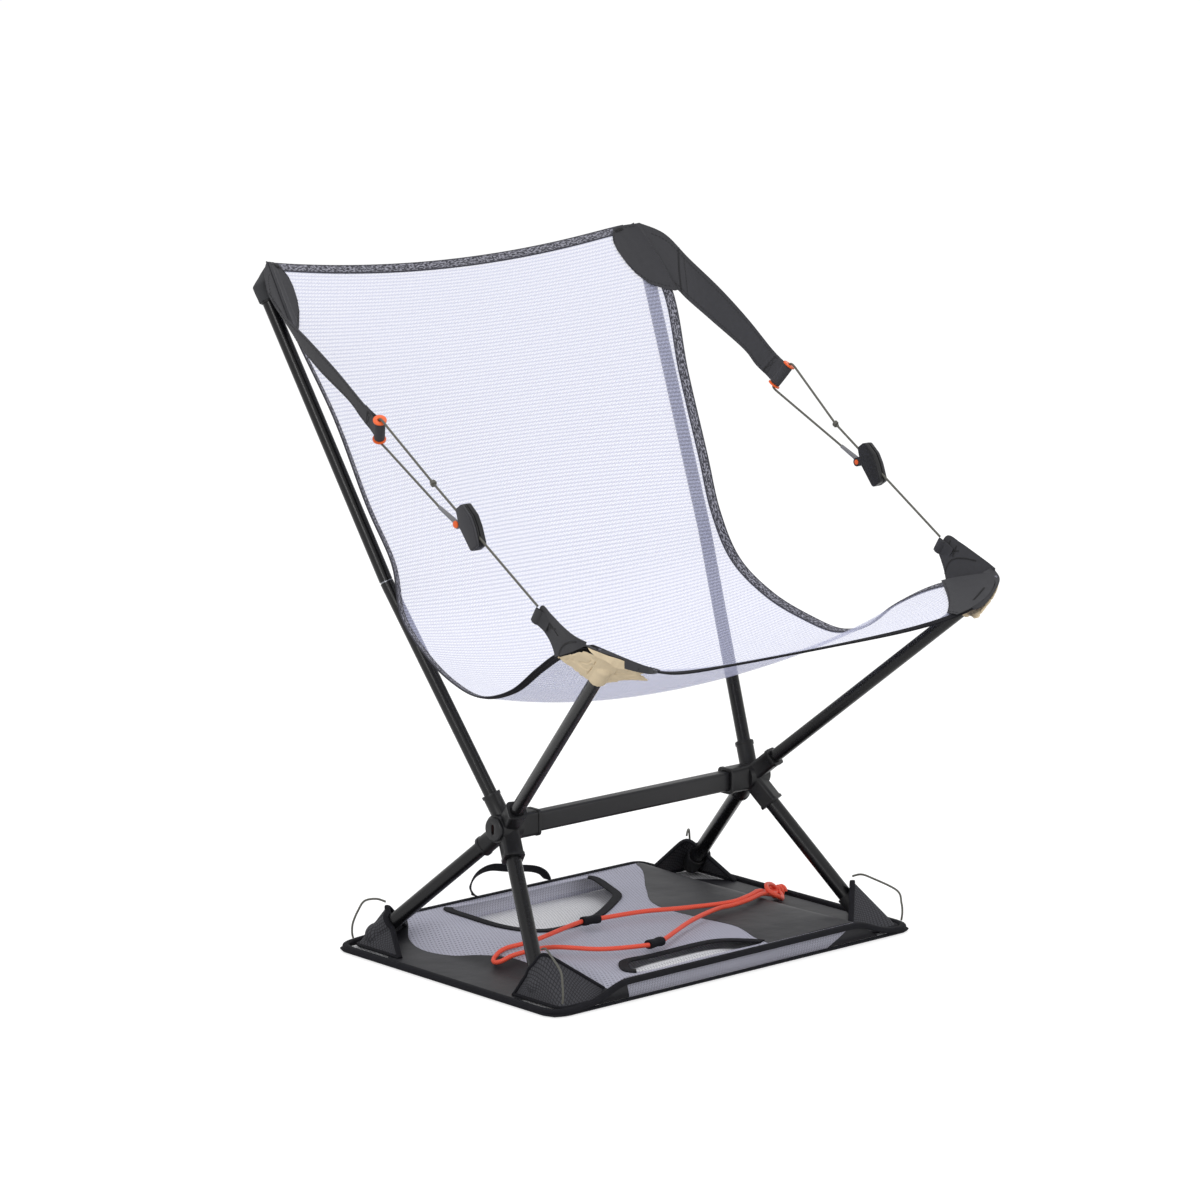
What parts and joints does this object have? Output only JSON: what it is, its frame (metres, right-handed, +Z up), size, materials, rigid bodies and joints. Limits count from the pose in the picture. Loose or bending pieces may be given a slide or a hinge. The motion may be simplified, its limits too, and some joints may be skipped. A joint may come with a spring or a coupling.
{
  "type": "camping chair",
  "caption": "Low mesh sling camp chair on a crossed pole frame, with recline cords and sliding adjusters at the sides and a laced ground sheet that is also its case.",
  "frame": {"origin": "on the ground under the middle of the chair's bounding box", "axes": "+Z up, the sitter faces -Y, +X to the right as seen from the front"},
  "size_m": [0.525, 0.5174, 0.6432],
  "materials": {
    "bar": "matt dark grey anodised",
    "tube": "black anodised",
    "ferrule": "satin",
    "hub": "moulded glass-filled nylon",
    "cap": "moulded",
    "tip": "moulded",
    "foot": "matt",
    "elastic": "braided orange-red elastic",
    "mesh": "translucent white mono mesh",
    "heather_binding": "heather grey binding, stitched",
    "black_binding": "black binding",
    "panel_fabric": "dark grey weave",
    "pocket_fabric": "dark grid weave",
    "tan_fabric": "tan weave",
    "orange": "moulded",
    "black_plastic": "moulded",
    "grey_plastic": "moulded",
    "cord": "thin braided cord",
    "sheet_mesh": "grey-white mesh",
    "sheet_panel": "dark coated fabric",
    "webbing": "black webbing"
  },
  "bodies": {
    "chair": {"crossbar": "bar", "hub_left": "hub", "hub_right": "hub", "hub_caps": "cap", "back_pole_lower_left": "tube", "back_pole_lower_right": "tube", "back_pole_upper_left": "tube", "back_pole_upper_right": "tube", "pole_ferrules": "ferrule", "seat_pole_left": "tube", "seat_pole_right": "tube", "rear_leg_left": "tube", "rear_leg_right": "tube", "front_leg_left": "tube", "front_leg_right": "tube", "back_pole_tips": "tip", "seat_pole_tips": "tip", "feet": "foot", "shock_cords": "elastic", "sling_mesh": "mesh", "sling_top_binding": "heather_binding", "sling_side_bindings": "heather_binding", "sling_front_binding": "black_binding", "wing_left": "panel_fabric", "wing_right": "panel_fabric", "tip_pockets": "pocket_fabric", "corner_patch_left": "panel_fabric", "corner_patch_right": "panel_fabric", "pole_pockets": "tan_fabric", "recline_cord_left": "cord", "recline_cord_right": "cord", "tackle_cord_left": "cord", "tackle_cord_right": "cord", "ground_base": "sheet_mesh", "ground_walls": "sheet_mesh", "ground_top": "sheet_mesh", "ground_panels": "sheet_panel", "ground_binding": "black_binding", "opening_bindings": "black_binding", "corner_pockets": "pocket_fabric", "bungee": "elastic", "bungee_keepers": "webbing"},
    "adjuster_left": {"adjuster_body_left": "black_plastic", "adjuster_cover_left": "grey_plastic", "adjuster_pin_left": "orange", "cord_sleeve_left": "grey_plastic"},
    "bush_left": {"cord_bush_left": "orange"},
    "stake_loop_rear_left": {"stake_loop_rear_left": "cord"},
    "stake_loop_front_left": {"stake_loop_front_left": "cord"},
    "adjuster_right": {"adjuster_body_right": "black_plastic", "adjuster_cover_right": "grey_plastic", "adjuster_pin_right": "orange", "cord_sleeve_right": "grey_plastic"},
    "bush_right": {"cord_bush_right": "orange"},
    "stake_loop_rear_right": {"stake_loop_rear_right": "cord"},
    "stake_loop_front_right": {"stake_loop_front_right": "cord"},
    "handle": {"handle": "webbing"}
  },
  "joints": [
    {"name": "adjuster_left_slide", "type": "slide", "parent": "chair", "child": "adjuster_left", "axis": [0, -0.8427, -0.5383], "range_m": [-0.022, 0.05], "deforming": ["tackle_cord_left"]},
    {"name": "bush_left_spin", "type": "hinge", "parent": "chair", "child": "bush_left", "pos_m": [-0.252, 0.054, 0.51], "axis": [-0.3584, -0.4792, 0.8012], "continuous": true},
    {"name": "stake_loop_rear_left_swing", "type": "hinge", "parent": "chair", "child": "stake_loop_rear_left", "pos_m": [-0.193, 0.123, 0.0452], "axis": [-0.5008, 0.4325, -0.7497], "range_deg": [-30, 30]},
    {"name": "stake_loop_front_left_swing", "type": "hinge", "parent": "chair", "child": "stake_loop_front_left", "pos_m": [-0.198, -0.106, 0.0472], "axis": [-0.2766, -0.7647, -0.582], "range_deg": [-30, 30]},
    {"name": "adjuster_right_slide", "type": "slide", "parent": "chair", "child": "adjuster_right", "axis": [0, -0.8427, -0.5383], "range_m": [-0.022, 0.05], "deforming": ["tackle_cord_right"]},
    {"name": "bush_right_spin", "type": "hinge", "parent": "chair", "child": "bush_right", "pos_m": [0.252, 0.054, 0.51], "axis": [0.3584, -0.4792, 0.8012], "continuous": true},
    {"name": "stake_loop_rear_right_swing", "type": "hinge", "parent": "chair", "child": "stake_loop_rear_right", "pos_m": [0.193, 0.123, 0.0452], "axis": [0.5008, 0.4325, -0.7497], "range_deg": [-30, 30]},
    {"name": "stake_loop_front_right_swing", "type": "hinge", "parent": "chair", "child": "stake_loop_front_right", "pos_m": [0.198, -0.106, 0.0472], "axis": [0.2766, -0.7647, -0.582], "range_deg": [-30, 30]},
    {"name": "handle_flap", "type": "hinge", "parent": "chair", "child": "handle", "pos_m": [0, 0.15, 0.0185], "axis": [-1, 0, 0], "range_deg": [-10, 105]}
  ]
}
